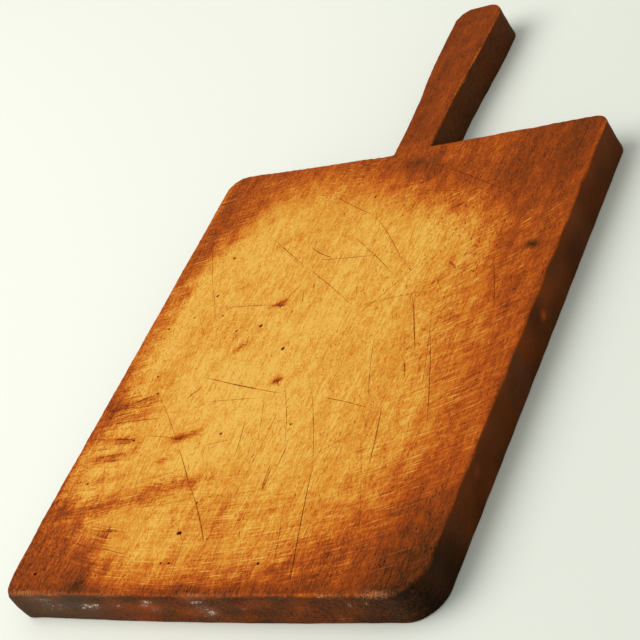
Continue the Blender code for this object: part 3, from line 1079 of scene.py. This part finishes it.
def wood_finish():
    """Material of the board: the mesh's tone mask, plus every pattern as a shift up or down the
    scale of tones, then the colours that lie off the scale, the sheen and the fine relief."""
    material = bpy.data.materials.new("old_hardwood")
    material.use_nodes = True
    nodes = Nodes(material.node_tree)
    place = nodes.object_place()
    place_x, place_y = nodes.x_and_y(place)

    # grain: broad bands, fine fibres and short dark flecks, all drawn out along Y
    bands = nodes.noise(place, (48, 3.0, 48), 3, 0.55)
    fibre = nodes.noise(place, (1500, 60, 1500), 3, 0.65)
    cells = nodes.vector("MULTIPLY", (place, (760, 250, 760)))
    fleck_gap = nodes.add("ShaderNodeTexVoronoi", {"Vector": cells, "Scale": 1.0}, output="Distance")
    fleck_pick = nodes.noise(place, (170, 80, 170), 2)
    flecks = nodes.times(nodes.between(fleck_gap, 0.30, 0.10), nodes.between(fleck_pick, 0.42, 0.58))

    # scrubbing: polar coordinates round the scrub centre, so that the strokes lie along arcs, and
    # on the left the slanting strokes of another hand
    offset = nodes.vector("SUBTRACT", (place, SCRUB_CENTRE))
    offset_x, offset_y = nodes.x_and_y(offset)
    radius = nodes.vector("LENGTH", [nodes.vector("MULTIPLY", (offset, (1, 1, 0)))], output="Value")
    angle = nodes.fold("ARCTAN2", [offset_x, nodes.times(offset_y, -1.0)])
    arcs = nodes.add("ShaderNodeCombineXYZ", {"X": nodes.times(angle, 0.40), "Y": radius})
    slant = nodes.add("ShaderNodeVectorRotate", {"Vector": place, "Angle": math.radians(-12)},
                      rotation_type="Z_AXIS")
    leftward = nodes.between(place_x, -0.060, -0.085)
    leftward = nodes.times(leftward, nodes.between(place_y, -0.125, -0.110))
    swirl = nodes.add("ShaderNodeMix", {0: nodes.between(leftward, 0.49, 0.51), 4: arcs, 5: slant},
                      output=1, data_type="VECTOR")
    wide_strokes = nodes.noise(swirl, (24, 190, 1), 3, 0.6)
    fine_strokes = nodes.noise(swirl, (70, 900, 1), 3, 0.65)
    scratch_lines = nodes.between(nodes.noise(swirl, (45, 1400, 1), 2, 0.5), 0.58, 0.68)
    scratch_places = nodes.between(nodes.noise(place, (42, 42, 42), 2), 0.42, 0.56)
    scratches = nodes.times(scratch_lines, scratch_places)
    teeth = nodes.times(
        nodes.between(nodes.noise(slant, (36, 420, 1), 3, 0.6), 0.44, 0.62),
        nodes.between(place_x, -0.104, -0.137),
        nodes.between(place_y, -0.118, -0.095),
    )

    # patterns at random: soft blotches, mottling, grit, and streaks along the grain
    blotch = nodes.noise(place, (70, 45, 70), 4, 0.6)
    mottle = nodes.noise(place, (620, 170, 620), 5, 0.68)
    grit = nodes.noise(place, (1400, 600, 1400), 3, 0.6)
    streaks = nodes.noise(place, (150, 12, 150), 3, 0.6)

    # parts of the board, 0 to 1: its sides and faces, the rim of the scrubbed middle, and places
    # that are calmer or grittier than the rest
    worn = nodes.mask("tone")
    side = nodes.mask("side")
    on_face = nodes.less(1.0, side)
    rim = nodes.between(worn, 0.38, 0.54)
    rim = nodes.times(rim, nodes.less(1.0, nodes.between(worn, 0.76, 0.92)))
    golden = nodes.between(worn, 0.80, 0.94)
    grip = nodes.between(place_y, 0.155, 0.185)
    far_part = nodes.between(place_y, 0.085, 0.125)
    near_end = nodes.between(place_y, -0.150, -0.157)
    right_part = nodes.between(place_x, 0.080, 0.110)
    left_part = nodes.between(place_x, -0.085, -0.120)
    uneven = nodes.less(
        1.0,
        nodes.times(side, nodes.less(1.0, near_end), 0.60),
        nodes.times(grip, on_face, 0.45),
        nodes.times(right_part, 0.24),
    )
    more_grit = nodes.sum(1.0, nodes.times(left_part, 0.50), nodes.times(near_end, side, 0.25))
    gritty = nodes.times(uneven, more_grit)
    uneven = nodes.times(uneven, nodes.less(1.0, nodes.times(far_part, 0.20)))

    # how strongly streaks, strokes and scratches show: most in the rim, and only on the faces
    streak_share = nodes.times(nodes.sum(nodes.times(rim, 0.60), 0.40), on_face)
    stroke_share = nodes.times(nodes.sum(nodes.times(rim, 0.70), 0.22), on_face)
    stroke_share = nodes.times(stroke_share, nodes.less(1.0, nodes.times(far_part, 0.6)))
    scratch_share = nodes.times(nodes.sum(nodes.times(rim, 0.8), 0.2), on_face)
    bare_wood = nodes.times(nodes.mask("pale"), nodes.between(grit, 0.36, 0.58))

    tone_now = nodes.sum(
        worn,
        nodes.times(nodes.swing(bands, 0.24), uneven),
        nodes.swing(blotch, 0.16),
        nodes.times(nodes.swing(mottle, 0.66), nodes.less(uneven, nodes.times(golden, 0.22))),
        nodes.times(nodes.swing(grit, 0.56), gritty),
        nodes.times(nodes.swing(fibre, 0.40), on_face, uneven),
        nodes.times(nodes.swing(streaks, 0.44), streak_share),
        nodes.times(nodes.swing(wide_strokes, 0.34), stroke_share),
        nodes.times(nodes.swing(fine_strokes, 0.66), stroke_share),
        nodes.times(scratches, scratch_share, 0.34),
        nodes.times(teeth, on_face, -0.06),
        nodes.times(bare_wood, 0.30),
        nodes.times(flecks, on_face, -0.30),
        # dirt in the cuts, and painted shade deep in the beetle holes, darken the tone
        nodes.times(nodes.mask("mark"), -0.95),
    )
    scale = nodes.add("ShaderNodeValToRGB", {"Fac": tone_now}, output="Color")
    ramp = scale.node.color_ramp
    while len(ramp.elements) < len(TONES):
        ramp.elements.new(0.5)
    for element, (position, colour) in zip(ramp.elements, TONES):
        element.position = position
        element.color = (*colour, 1.0)

    # off the scale: torn wood is duller, and so are the dirt and the crust on the sides
    colour = nodes.mix(nodes.times(bare_wood, 0.38), scale, TORN_WOOD)
    dirt = nodes.times(nodes.mask("dirt"), nodes.sum(1.0, nodes.swing(mottle, 2.4)))
    colour = nodes.mix(nodes.clamp(dirt), colour, DIRT)
    crust = nodes.mask("crust")
    crumbs = nodes.noise(place, (760, 760, 760), 4, 0.75)
    speckle = nodes.between(nodes.sum(crumbs, nodes.times(crust, 0.20)), 0.635, 0.675)
    crust_spots = nodes.times(speckle, nodes.between(crust, 0.03, 0.40))
    crust_spots = nodes.clamp(nodes.sum(crust_spots, nodes.times(crust, 0.17)))
    nodes.feed(nodes.shader.inputs["Base Color"], nodes.mix(crust_spots, colour, CRUST))

    # sheen: oiled wood is smoother than scrubbed wood
    rough = nodes.sum(
        0.50,
        nodes.times(nodes.between(tone_now, 0.3, 0.9), 0.20),
        nodes.swing(mottle, 0.22),
        nodes.times(crust_spots, 0.3),
    )
    nodes.feed(nodes.shader.inputs["Roughness"], rough)
    nodes.shader.inputs["Specular IOR Level"].default_value = 0.02

    # relief finer than the mesh
    relief = nodes.sum(
        nodes.times(fibre, 0.5),
        nodes.times(mottle, 0.5),
        nodes.times(fine_strokes, on_face, 0.5),
        nodes.times(flecks, -0.5),
        nodes.times(scratches, -0.3),
    )
    bump = nodes.add("ShaderNodeBump", {"Height": relief, "Strength": 0.6, "Distance": 0.16 * MM})
    nodes.feed(nodes.shader.inputs["Normal"], bump)
    return material


board = bpy.data.objects.new("worn_board", board_mesh())
bpy.context.scene.collection.objects.link(board)
board.data.materials.append(wood_finish())
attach(board, "root")
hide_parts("board")


# ------------------------------------------------------------------ floor, light and camera
# A pale floor under one large soft light from the left, and a weak even light from all
# round; the floor's colour is painted darker towards the right as falloff of that light. The
# camera looks down on the board from its near right, rolled about its own axis.
FLOOR_HALF = 4.0
FLOOR_LEVEL = -0.02 * MM
# floor colour on the lit left, and on the right painted darker as falloff of the light
FLOOR_LIT = (0.835, 0.852, 0.795, 1)
FLOOR_PAINTED_SHADE = (0.735, 0.760, 0.715, 1)
WINDOW_PLACE = (-1.28, -0.48, 1.95)
WINDOW_AIM = (0, 0.05, 0)
WINDOW_SIZE = 2.3
WINDOW_POWER = 44.5
WINDOW_COLOUR = (1.0, 0.985, 0.94)
ROOM_COLOUR = (0.97, 1.0, 0.93, 1.0)
ROOM_STRENGTH = 0.58
CAMERA_AZIMUTH = 47.1
CAMERA_ELEVATION = 32.9
CAMERA_DISTANCE = 1.046
CAMERA_ROLL = -37.0
CAMERA_LENS = 100.6
LOOKED_AT = Vector((-0.028, 0.0485, 0.0))


def pale_floor():
    """A large flat sheet just under the board, whose colour darkens softly from left to right: painted
    falloff of the light from the left.
    """
    mesh = bpy.data.meshes.new("floor")
    half = FLOOR_HALF
    corners = [(-half, -half, FLOOR_LEVEL), (half, -half, FLOOR_LEVEL), (half, half, FLOOR_LEVEL),
               (-half, half, FLOOR_LEVEL)]
    mesh.from_pydata(corners, [], [(0, 1, 2, 3)])
    floor = bpy.data.objects.new("floor", mesh)
    bpy.context.scene.collection.objects.link(floor)
    material = bpy.data.materials.new("pale_floor")
    material.use_nodes = True
    nodes = Nodes(material.node_tree)
    place_x = nodes.x_and_y(nodes.object_place())[0]
    # painted light falloff: the floor's colour darkens towards the right
    colour = nodes.mix(nodes.between(place_x, -0.25, 0.45), FLOOR_LIT, FLOOR_PAINTED_SHADE)
    nodes.feed(nodes.shader.inputs["Base Color"], colour)
    nodes.shader.inputs["Roughness"].default_value = 0.55
    nodes.shader.inputs["Specular IOR Level"].default_value = 0.25
    mesh.materials.append(material)
    return floor


def soft_light(name, place, aim, size, power, colour):
    """Round area light at a place, facing the aim."""
    light = bpy.data.lights.new(name, "AREA")
    light.shape = "DISK"
    light.size = size
    light.energy = power
    light.color = colour
    lamp = bpy.data.objects.new(name, light)
    lamp.location = place
    lamp.rotation_euler = (Vector(aim) - Vector(place)).to_track_quat("-Z", "Y").to_euler()
    bpy.context.scene.collection.objects.link(lamp)


def room_light(colour, strength):
    """Even light from all round."""
    world = bpy.data.worlds.new("room")
    world.use_nodes = True
    background = world.node_tree.nodes["Background"]
    background.inputs["Color"].default_value = colour
    background.inputs["Strength"].default_value = strength
    bpy.context.scene.world = world


def set_camera():
    """Camera at an azimuth and elevation round the point it looks at, rolled about its axis."""
    azimuth, elevation = math.radians(CAMERA_AZIMUTH), math.radians(CAMERA_ELEVATION)
    towards_camera = Vector((
        math.sin(azimuth) * math.cos(elevation),
        -math.cos(azimuth) * math.cos(elevation),
        math.sin(elevation),
    ))
    lens = bpy.data.cameras.new("camera")
    lens.lens = CAMERA_LENS
    lens.clip_start = 0.01
    camera = bpy.data.objects.new("camera", lens)
    upright = (-towards_camera).to_track_quat("-Z", "Y").to_matrix()
    camera.matrix_world = (
        Matrix.Translation(LOOKED_AT + towards_camera * CAMERA_DISTANCE)
        @ (upright @ Matrix.Rotation(math.radians(CAMERA_ROLL), 3, "Z")).to_4x4()
    )
    bpy.context.scene.collection.objects.link(camera)
    bpy.context.scene.camera = camera


pale_floor()
soft_light("window", WINDOW_PLACE, WINDOW_AIM, WINDOW_SIZE, WINDOW_POWER, WINDOW_COLOUR)
room_light(ROOM_COLOUR, ROOM_STRENGTH)
set_camera()
bpy.context.scene.view_settings.view_transform = "Standard"
